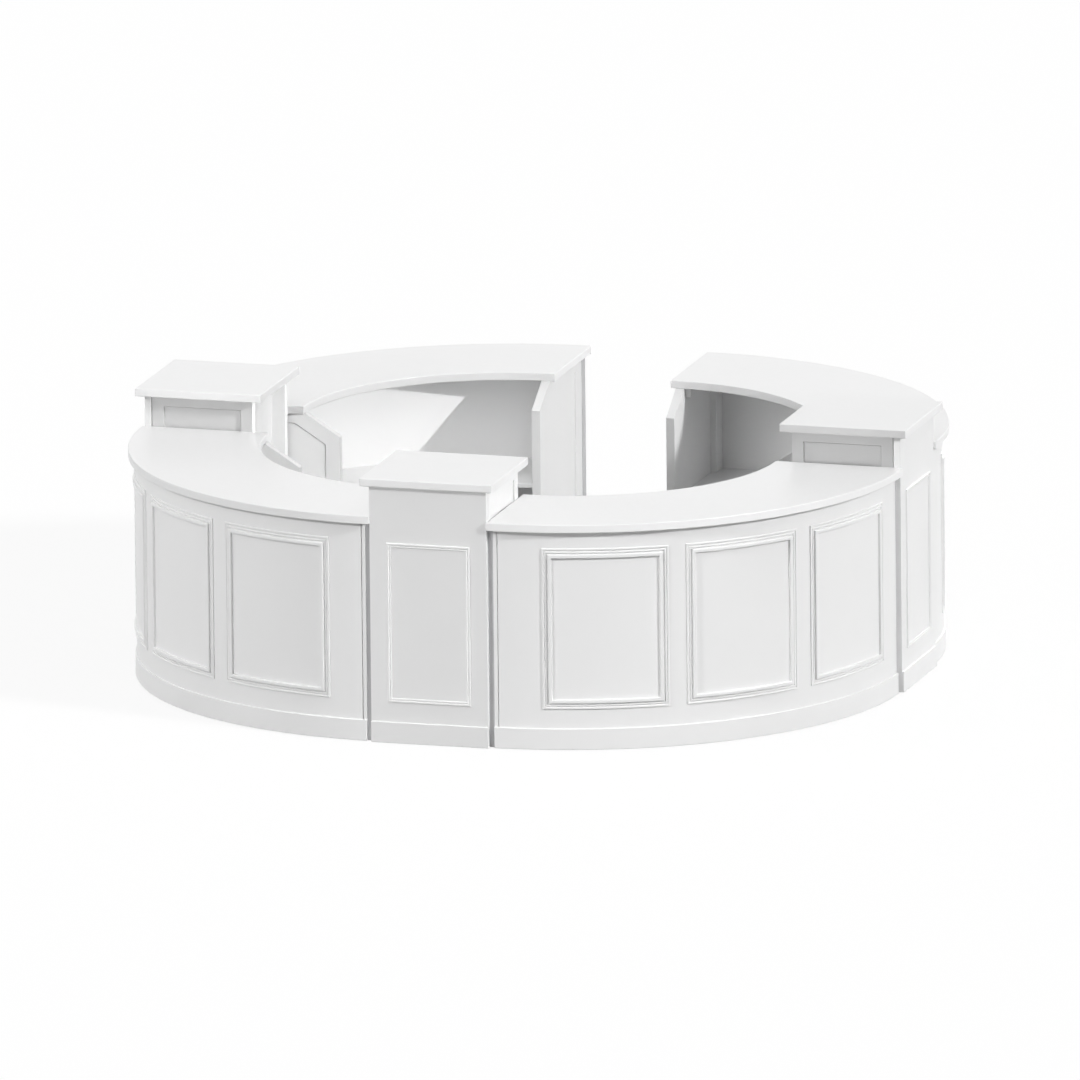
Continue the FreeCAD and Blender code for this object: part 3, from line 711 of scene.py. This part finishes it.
def side_wave(tree, walk):
    """Goes from -1 to 1, waits there, comes back and waits, as one coordinate does round a square."""
    wrapped = calc(tree, "FLOORED_MODULO", calc(tree, "ADD", walk, 2.5), 4.0)
    swing = calc(tree, "ABSOLUTE", calc(tree, "SUBTRACT", wrapped, 2.0))
    steep = calc(tree, "MULTIPLY_ADD", swing, 2.0, -2.0)
    return calc(tree, "MAXIMUM", calc(tree, "MINIMUM", steep, 1.0), -1.0)


walk = calc(moulding, "DIVIDE", ring, given["Side Steps"])
inwards = calc(moulding, "MULTIPLY", profile.outputs["X"], -1.0)
half_width = calc(moulding, "MULTIPLY_ADD", given["Width"], 0.5, inwards)
half_height = calc(moulding, "MULTIPLY_ADD", given["Height"], 0.5, inwards)
across = calc(moulding, "MULTIPLY", side_wave(moulding, walk), half_width)
side_later = calc(moulding, "SUBTRACT", walk, 1.0)
upright = calc(moulding, "MULTIPLY", side_wave(moulding, side_later), half_height)
middle_height = calc(moulding, "MULTIPLY_ADD", given["Height"], 0.5, given["Bottom"])
up = calc(moulding, "ADD", upright, middle_height)
reach = calc(moulding, "ADD", given["Wall Distance"], profile.outputs["Y"])
flat = add_node(moulding, "ShaderNodeCombineXYZ")
wire(moulding, (across, flat.inputs["X"]), (reach, flat.inputs["Y"]), (up, flat.inputs["Z"]))
swept = calc(moulding, "DIVIDE", across, given["Wall Distance"])
round_wall = add_node(moulding, "ShaderNodeCombineXYZ")
along_x = calc(moulding, "MULTIPLY", reach, calc(moulding, "SINE", swept))
along_y = calc(moulding, "MULTIPLY", reach, calc(moulding, "COSINE", swept))
wire(moulding, (along_x, round_wall.inputs["X"]), (along_y, round_wall.inputs["Y"]),
     (up, round_wall.inputs["Z"]))
choice = add_node(moulding, "GeometryNodeSwitch", input_type="VECTOR")
wire(moulding, (given["Bent"], choice.inputs["Switch"]), (flat.outputs["Vector"], choice.inputs["False"]),
     (round_wall.outputs["Vector"], choice.inputs["True"]))
shaped = add_node(moulding, "GeometryNodeSetPosition")
closed = add_node(moulding, "GeometryNodeMergeByDistance")
outward = add_node(moulding, "GeometryNodeFlipFaces")
wire(moulding, (net.outputs["Mesh"], shaped.inputs["Geometry"]),
     (choice.outputs["Output"], shaped.inputs["Position"]),
     (shaped.outputs["Geometry"], closed.inputs["Geometry"]), (SEAM_MERGE, closed.inputs["Distance"]),
     (closed.outputs["Geometry"], outward.inputs["Mesh"]))
frames = fan_out(moulding, outward.outputs["Mesh"], given["Count"], given["Pitch"], given["Middle"])
close_tree(moulding, frames, given["Finish"], out)
print("moulding_frames has", len(moulding.nodes), "nodes")

# %% [markdown]
# The wall moulding has three parts, read from its lines in the light: two narrow beads, and behind a
# thin dark quirk a broader nose that drops straight to the field. The pedestal's moulding is a pair of
# beads. Both profiles are drawn in millimetres as closed loops. They start and end a little inside the
# wall, because a hair-thin gap behind the wood would show as a black line.

# %% Moulding profiles
def quarter_round(centre_in, centre_up, radius, start, end, steps=4):
    """Points on an arc of the profile, with angles in degrees."""
    points = []
    for step in range(steps + 1):
        angle = math.radians(start + (end - start) * step / steps)
        points.append((centre_in + radius * math.cos(angle), centre_up + radius * math.sin(angle)))
    return points


def profile_object(name, points):
    """A line of points that a tree can read: inset along X and height above the wall along Y."""
    loop = points + points[:1]
    mesh = bpy.data.meshes.new(name)
    mesh.from_pydata([(inset * MM, proud * MM, 0) for inset, proud in loop], [], [])
    return bpy.data.objects.new(name, mesh), len(loop)


SUNK = -0.6
wall_profile = [(0, SUNK)]
wall_profile += quarter_round(2.6, 3.4, 2.6, 180, 90) + quarter_round(6.4, 3.4, 2.6, 90, 0)
wall_profile += [(9.2, 2.2), (13.6, 2.2)]
wall_profile += quarter_round(17, 2.6, 3, 180, 90) + quarter_round(19, 2.6, 3, 90, 0)
wall_profile += [(22.3, 0.8), (26.6, 0.8)]
wall_profile += quarter_round(32, 6.6, 5.2, 180, 90) + quarter_round(41.4, 8.3, 3.5, 90, 0)
wall_profile += [(45, SUNK)]
bead_profile = [(0, SUNK)]
bead_profile += quarter_round(4, 4.6, 4, 180, 90) + quarter_round(6.4, 4.6, 4, 90, 0)
bead_profile += [(10.8, 2.6), (12.2, 2.6)]
bead_profile += quarter_round(15.6, 3.4, 3.2, 180, 90) + quarter_round(16.7, 3.4, 3.2, 90, 0)
bead_profile += [(20, SUNK)]


def moulded(points, values):
    """Frames with this profile, as a plain mesh."""
    profile, count = profile_object("profile", points)
    mesh = grown(moulding, {"Profile": profile, "Profile Points": count, **values})
    bpy.data.objects.remove(profile)
    return mesh


print("wall moulding has", len(wall_profile), "points and the bead", len(bead_profile))

# %% Skirtings and mouldings of the quarters
SKIRTING_TOP = 102 * MM
SKIRTING_PROUD = 8 * MM
SKIRTING_EASE = 2.5 * MM
FRAME_COUNT = 3
FRAME_WIDTH = 587 * MM
FRAME_HEIGHT = 756 * MM
FRAME_BOTTOM = 194 * MM
FRAME_SPACING = 671 * MM
FRAME_SHIFT = 24 * MM
# The skirting reaches this far into the wall, so that no gap shows behind it
TOUCH = 1 * MM

wall_frames = moulded(wall_profile, {
    "Width": FRAME_WIDTH, "Height": FRAME_HEIGHT, "Bottom": FRAME_BOTTOM, "Wall Distance": WALL_OUTER,
    "Bent": True, "Count": FRAME_COUNT, "Pitch": FRAME_SPACING / WALL_OUTER,
    "Middle": FRAME_SHIFT / WALL_OUTER - QUARTER_MIDDLE, "Finish": satin_lacquer})
skirting = bent(WALL_OUTER - TOUCH, WALL_OUTER + SKIRTING_PROUD, END_SETBACK, BOARD_FOOT, SKIRTING_TOP,
                satin_lacquer, SKIRTING_EASE)
furnish(QUARTERS, "front_trim", [skirting, wall_frames], satin_lacquer)

# %% [markdown]
# A pedestal is a straight box that stands a little taller than the bar: a front board with its bead
# and skirting, two sides with sunk fields, a plain back set inside the sides, and a square cap that
# overhangs all round. Front, back, cap and skirting are plain boxes with rounded edges.

# %% Pedestals
PEDESTAL_HALF = SLOT_HALF
FRONT_FACE = 1537 * MM
FRONT_BACK = 1505 * MM
BODY_BACK = 1017 * MM
CAP_BOTTOM = 1213 * MM
CAP_TOP = 1250 * MM
CAP_HALF = 316 * MM
CAP_FRONT = 1573 * MM
CAP_BACK = 967 * MM
SIDE_THICKNESS = 38 * MM
SIDE_STILE = 56 * MM
SIDE_RAIL = 48 * MM
SIDE_FOOT_RAIL = 120 * MM
SIDE_RECESS = 7 * MM
SIDE_GROOVE = 4 * MM
GROOVE_DEPTH = 10 * MM
BACK_INSET = 66 * MM
BACK_THICKNESS = 18 * MM
PANEL_FRAME_WIDTH = 397 * MM
PANEL_FRAME_HEIGHT = 750 * MM
PANEL_FRAME_BOTTOM = 195 * MM
FRONT_EASE = 1.5 * MM
body_height = CAP_BOTTOM - BOARD_FOOT

cap = boards([((-CAP_HALF, CAP_BACK, CAP_BOTTOM),
               (2 * CAP_HALF, CAP_FRONT - CAP_BACK, CAP_TOP - CAP_BOTTOM))],
             WORKTOP_EASE, WORKTOP_EASE_STEPS)
furnish(PEDESTALS, "cap", [cap], worktop_lacquer)
front = boards([((-PEDESTAL_HALF, FRONT_BACK, BOARD_FOOT),
                 (2 * PEDESTAL_HALF, FRONT_FACE - FRONT_BACK, body_height))],
               FRONT_EASE, SOFT_STEPS)
furnish(PEDESTALS, "front_panel", [front], satin_lacquer)
side_outline = [(BODY_BACK, BOARD_FOOT), (FRONT_BACK - SIDE_GROOVE, BOARD_FOOT),
                (FRONT_BACK - SIDE_GROOVE, CAP_BOTTOM), (BODY_BACK, CAP_BOTTOM)]
side_far = FRONT_BACK - SIDE_GROOVE - SIDE_STILE
side_field = [(BODY_BACK + SIDE_STILE, SIDE_FOOT_RAIL), (side_far, SIDE_FOOT_RAIL),
              (side_far, CAP_BOTTOM - SIDE_RAIL), (BODY_BACK + SIDE_STILE, CAP_BOTTOM - SIDE_RAIL)]
back_half = PEDESTAL_HALF - SIDE_THICKNESS
side_levels = (PEDESTAL_HALF, PEDESTAL_HALF - GROOVE_DEPTH, back_half)
side = sunk_board(side_outline, FRONT_BACK, side_field, side_levels, SIDE_RECESS)
furnish(PEDESTALS, "side_panels", with_twin(side, MIRROR_SIDES), satin_lacquer)
back = boards([((-back_half, BODY_BACK + BACK_INSET, BOARD_FOOT),
                (2 * back_half, BACK_THICKNESS, body_height))])
furnish(PEDESTALS, "back_panel", [back], satin_lacquer)
panel_frame = moulded(bead_profile, {
    "Width": PANEL_FRAME_WIDTH, "Height": PANEL_FRAME_HEIGHT, "Bottom": PANEL_FRAME_BOTTOM,
    "Wall Distance": FRONT_FACE, "Bent": False, "Count": 1, "Pitch": 0.0, "Middle": 0.0, "Side Steps": 1,
    "Finish": satin_lacquer})
foot = boards([((-PEDESTAL_HALF, FRONT_FACE - TOUCH, BOARD_FOOT),
                (2 * PEDESTAL_HALF, SKIRTING_PROUD + TOUCH, SKIRTING_TOP - BOARD_FOOT))],
              SKIRTING_EASE, SOFT_STEPS)
furnish(PEDESTALS, "front_trim", [foot, panel_frame], satin_lacquer)

# %% [markdown]
# Every module stands on small nylon glides, so that it can be pushed over a floor without marking it.
# They repeat, so a tree puts one on each vertex of a list of points. The nylon is dark, slightly
# mottled and scuffed, which the same lacquer group can give with other numbers.

# %% Glides
GLIDE_RADIUS = 15 * MM
GLIDE_INSET = 60 * MM
GLIDE_SIDES = 32
GLIDE_EASE = 0.8 * MM
glide_nylon = lacquer("glide_nylon", 0.06, 0.04, (0.5, 0.7), 900.0, 0.04 * MM)
glide_feet, given, out = start_tree("glide_feet", [
    ("Places", "Geometry", None), ("Radius", "Float", 0.015), ("Height", "Float", 0.004)])
puck = add_node(glide_feet, "GeometryNodeMeshCylinder")
lift = add_node(glide_feet, "ShaderNodeCombineXYZ")
raised = add_node(glide_feet, "GeometryNodeTransform")
feet = add_node(glide_feet, "GeometryNodeInstanceOnPoints")
wire(glide_feet, (GLIDE_SIDES, puck.inputs["Vertices"]), (given["Radius"], puck.inputs["Radius"]),
     (given["Height"], puck.inputs["Depth"]),
     (calc(glide_feet, "MULTIPLY", given["Height"], 0.5), lift.inputs["Z"]),
     (puck.outputs["Mesh"], raised.inputs["Geometry"]),
     (lift.outputs["Vector"], raised.inputs["Translation"]),
     (given["Places"], feet.inputs["Points"]), (raised.outputs["Geometry"], feet.inputs["Instance"]))
close_tree(glide_feet, feet.outputs["Instances"], given["Finish"], out)


def glides(places):
    """Rounded glides with their feet on the floor at these places."""
    base = bpy.data.meshes.new("places")
    base.from_pydata([(across, along, 0) for across, along in places], [], [])
    values = {"Radius": GLIDE_RADIUS, "Height": BOARD_FOOT, "Finish": glide_nylon}
    return grown(glide_feet, values, GLIDE_EASE, FINE_STEPS, base)


end_middle = (END_SETBACK + END_BACK) / 2
along_end = (END_INNER + GLIDE_INSET, (END_INNER + END_OUTER) / 2, END_OUTER - GLIDE_INSET)
places = [(end_middle, along) for along in along_end] + [(along, end_middle) for along in along_end]
for bearer in range(BEARER_COUNT):
    angle = QUARTER_MIDDLE + (bearer - (BEARER_COUNT - 1) / 2) * BEARER_PITCH
    for reach in (BEARER_REACH + GLIDE_INSET, BEARER_END - GLIDE_INSET):
        places.append((reach * math.cos(angle), reach * math.sin(angle)))
furnish(QUARTERS, "glides", [glides(places)], glide_nylon)
side_middle = PEDESTAL_HALF - SIDE_THICKNESS / 2
places = [(across, along) for across in (-side_middle, side_middle)
          for along in (BODY_BACK + GLIDE_INSET, FRONT_BACK - GLIDE_INSET)]
furnish(PEDESTALS, "glides", [glides(places)], glide_nylon)

# %% [markdown]
# The photograph shows the counter as if from far away, from the front right and a little above: its
# parallel edges stay parallel. A long lens at a great distance gives that, and unlike an orthographic
# camera it still frames the counter by itself when it is moved to other sides.

# %% Camera
VIEW_TURN = math.radians(16.444)
VIEW_RISE = math.radians(12.97)
VIEW_ROLL = math.radians(-0.586)
VIEW_DISTANCE = 225.0
PIXELS_PER_METRE = 216.3
FRAME_PIXELS = 1080
SENSOR_WIDTH = 36
AIM_HEIGHT = 600 * MM
AIM_RIGHT = 0.5 * MM
AIM_DOWN = 36.6 * MM
level_right = Vector((math.cos(VIEW_TURN), math.sin(VIEW_TURN), 0))
view_back = Vector((math.sin(VIEW_TURN) * math.cos(VIEW_RISE),
                    -math.cos(VIEW_TURN) * math.cos(VIEW_RISE), math.sin(VIEW_RISE)))
level_up = view_back.cross(level_right)
view_right = level_right * math.cos(VIEW_ROLL) + level_up * math.sin(VIEW_ROLL)
view_up = level_up * math.cos(VIEW_ROLL) - level_right * math.sin(VIEW_ROLL)
# The middle of the counter, at that height, sits a little above the middle of the picture
aim = Vector((0, PLAN_SHIFT, AIM_HEIGHT)) + view_right * AIM_RIGHT - view_up * AIM_DOWN
camera = bpy.data.objects.new("camera", bpy.data.cameras.new("camera"))
camera.data.sensor_width = SENSOR_WIDTH
camera.data.lens = PIXELS_PER_METRE * VIEW_DISTANCE * SENSOR_WIDTH / FRAME_PIXELS
camera.data.clip_end = 3 * VIEW_DISTANCE
turn = Matrix((view_right, view_up, view_back)).transposed().to_4x4()
camera.matrix_world = Matrix.Translation(aim + view_back * VIEW_DISTANCE) @ turn
scene.collection.objects.link(camera)
scene.camera = camera
print("lens", round(camera.data.lens), "mm")

# %% [markdown]
# The floor is one plain pale plane. The picture's ground is pure white, so where the camera looks at
# the floor directly, part of its colour is plain white and the rest is ordinary paint that takes the
# counter's shadow. Light that bounces from the floor to the counter sees only the paint.

# %% Floor
FLOOR_HALF = 120.0
WHITE_SHARE = 0.86
WHITE = (1, 1, 1, 1)
BOUNCE_PAINT = (0.34, 0.34, 0.34, 1)
floor_mesh = bpy.data.meshes.new("floor")
floor_corners = [(across * FLOOR_HALF, along * FLOOR_HALF, 0)
                 for across, along in ((-1, -1), (1, -1), (1, 1), (-1, 1))]
floor_mesh.from_pydata(floor_corners, [], [(0, 1, 2, 3)])
floor = bpy.data.objects.new("floor", floor_mesh)
scene.collection.objects.link(floor)


def seen_directly(tree):
    """1 for rays from the camera, or from the camera by way of a mirror or glass."""
    path = add_node(tree, "ShaderNodeLightPath").outputs
    mirrored = calc(tree, "MAXIMUM", path["Is Camera Ray"], path["Is Glossy Ray"])
    return calc(tree, "MAXIMUM", mirrored, path["Is Transmission Ray"])


floor_paint = bpy.data.materials.new("floor_paint")
floor_paint.use_nodes = True
tree = floor_paint.node_tree
tree.nodes.clear()
white = add_node(tree, "ShaderNodeEmission")
shaded = add_node(tree, "ShaderNodeBsdfDiffuse")
bounce = add_node(tree, "ShaderNodeBsdfDiffuse")
lit = add_node(tree, "ShaderNodeMixShader")
pick = add_node(tree, "ShaderNodeMixShader")
end = add_node(tree, "ShaderNodeOutputMaterial")
wire(tree, (WHITE, white.inputs["Color"]), (1.0, white.inputs["Strength"]),
     (WHITE, shaded.inputs["Color"]), (BOUNCE_PAINT, bounce.inputs["Color"]),
     (WHITE_SHARE, lit.inputs["Fac"]), (shaded.outputs[0], lit.inputs[1]),
     (white.outputs[0], lit.inputs[2]), (seen_directly(tree), pick.inputs["Fac"]),
     (bounce.outputs[0], pick.inputs[1]), (lit.outputs[0], pick.inputs[2]),
     (pick.outputs[0], end.inputs["Surface"]))
floor_mesh.materials.append(floor_paint)
print("floor is", 2 * FLOOR_HALF, "m across")

# %% [markdown]
# The light is a white room that grows brighter towards its ceiling, so that every overhang darkens what
# is below it. The picture seems to be retouched: walls, worktop edges and storage bays are each lit from
# their own side, and hardly any shadow falls from one module on the next. So soft suns stand in for the
# studio lamps, and light linking gives most of them only the pieces they are meant for. The key comes
# from the right. One sun on the guests' side and one behind draw the mouldings, and a low one lifts the
# edges of the worktops. Small lamps serve the rear storage bays, where the wall shows a slanting shadow,
# and the hollow back of the left pedestal.

# %% Light
# With the light tree, pieces that have linked lamps come out in another tone in each run
scene.cycles.use_light_tree = False
WALL_GLOW = 0.06
CEILING_GLOW = 0.9
room = bpy.data.worlds.new("room")
scene.world = room
room.use_nodes = True
tree = room.node_tree
tree.nodes.clear()
glow = add_node(tree, "ShaderNodeBackground")
strength = add_node(tree, "ShaderNodeMix", data_type="FLOAT")
toward = add_node(tree, "ShaderNodeSeparateXYZ")
wire(tree, (add_node(tree, "ShaderNodeTexCoord").outputs["Generated"], toward.inputs[0]))
upward = calc(tree, "MAXIMUM", toward.outputs["Z"], 0.0)
room_glow = calc(tree, "MULTIPLY_ADD", upward, CEILING_GLOW - WALL_GLOW, WALL_GLOW)
wire(tree, (seen_directly(tree), strength.inputs["Factor"]), (room_glow, strength.inputs["A"]),
     (1.0, strength.inputs["B"]), (strength.outputs["Result"], glow.inputs["Strength"]),
     (WHITE, glow.inputs["Color"]),
     (glow.outputs[0], add_node(tree, "ShaderNodeOutputWorld").inputs["Surface"]))


def lamp(name, kind, energy, place, target, shine=False):
    """A lamp at a place, turned to a target. Without shine it makes no highlights."""
    light = bpy.data.lights.new(name, kind)
    light.energy = energy
    item = bpy.data.objects.new(name, light)
    turn = (target - place).to_track_quat("-Z", "Y").to_matrix().to_4x4()
    item.matrix_world = Matrix.Translation(place) @ turn
    item.visible_camera = False
    item.visible_glossy = shine
    scene.collection.objects.link(item)
    return light


SUN_TARGET = Vector((0, 0, 0.6))
SUN_DISTANCE = 10


def sun(name, energy, azimuth, elevation, width, shine=False):
    """A sun at an azimuth from the front towards the right, at an elevation, and so wide, in degrees."""
    turn, rise = math.radians(azimuth), math.radians(elevation)
    away = Vector((math.sin(turn) * math.cos(rise), -math.cos(turn) * math.cos(rise), math.sin(rise)))
    light = lamp(name, "SUN", energy, SUN_TARGET + away * SUN_DISTANCE, SUN_TARGET, shine)
    light.angle = math.radians(width)


def link_light(name, pieces, state="INCLUDE", role="receiver"):
    """Let a lamp light only these pieces, or all but these; or say which ones cast its shadows."""
    group = bpy.data.collections.new(f"{name}_{role}s")
    for piece in pieces:
        group.objects.link(bpy.data.objects[piece])
    for member in group.collection_objects:
        member.light_linking.link_state = state
    setattr(bpy.data.objects[name].light_linking, role + "_collection", group)


def in_modules(modules, *pieces):
    """The names of these pieces in these modules."""
    return [f"{module}.{piece}" for module in modules for piece in pieces]


BAY_PIECES = ("back_liner", "shelf", "base")
walls = in_modules([*QUARTERS, *PEDESTALS], "front_panel", "front_trim")
left_bay = in_modules(["rear_left"], *BAY_PIECES)
open_end = in_modules(["rear_left"], "end_panels", "end_strips")

# The front pedestal keeps its shadow off the worktop beside it, as in the picture
sun("key", 2.15, 76, 26, 7, shine=True)
link_light("key", left_bay + open_end + ["front_left.end_panels", "right_pedestal.side_panels"], "EXCLUDE")
front_box = in_modules(["front_pedestal"], "cap", "front_panel", "front_trim", "side_panels", "back_panel")
link_light("key", front_box, "EXCLUDE", "blocker")
sun("fill", 0.5, -66, 14, 60)
link_light("fill", in_modules(["front_pedestal"], "front_panel", "front_trim"), "EXCLUDE")

# Walls and mouldings from both sides, and the edges of worktops and caps
sun("front_light", 1.25, -36, 28, 3, shine=True)
link_light("front_light", walls + in_modules(["front_right"], "end_panels", "end_strips"))
sun("back_light", 1.2, 175, 36, 3, shine=True)
link_light("back_light", walls + in_modules(["front_pedestal"], "side_panels", "back_panel"))
sun("edge_light", 1.3, -20, 3, 20)
front_caps = in_modules(["front_pedestal", "left_pedestal"], "cap")
link_light("edge_light", in_modules(QUARTERS, "countertop") + front_caps)

# The end of the rear left module at the way in, past the modules on the right
sun("ends", 2.2, 52, 22, 5)
link_light("ends", open_end + ["front_left.end_panels"])
right_half = [item.name for item in bpy.data.objects
              if item.name.startswith(("rear_right.", "right_pedestal."))]
link_light("ends", right_half, "EXCLUDE", "blocker")

# The rear bays: an even lamp close to the end panel throws its slanting shadow, and a broad one opens
# the shade. A third lights the hollow back of the left pedestal.
BAY_LAMP = Vector((-0.267, 1.164, 1.06))
SHADE_LAMP = Vector((-0.15, 0.05, 1.5))
SHADE_TARGET = Vector((0.3, 1.5, 0.6))
RECESS_LAMP = Vector((-0.95, -0.12, 1.15))
bay = lamp("bay", "POINT", 23, BAY_LAMP, SUN_TARGET)
bay.shadow_soft_size = 0.8 * MM
bay.use_nodes = True
even = add_node(bay.node_tree, "ShaderNodeLightFalloff")
wire(bay.node_tree, (1.0, even.inputs["Strength"]),
     (even.outputs["Constant"], bay.node_tree.nodes["Emission"].inputs["Strength"]))
link_light("bay", left_bay)
shade = lamp("shade", "AREA", 15.5, SHADE_LAMP, SHADE_TARGET)
shade.size = 0.8
link_light("shade", left_bay + in_modules(["rear_right"], *BAY_PIECES))
recess = lamp("recess", "POINT", 4.5, RECESS_LAMP, SUN_TARGET)
recess.shadow_soft_size = 50 * MM
link_light("recess", ["left_pedestal.side_panels"])
print("room from", WALL_GLOW, "to", CEILING_GLOW, "and", len(bpy.data.lights), "lamps")
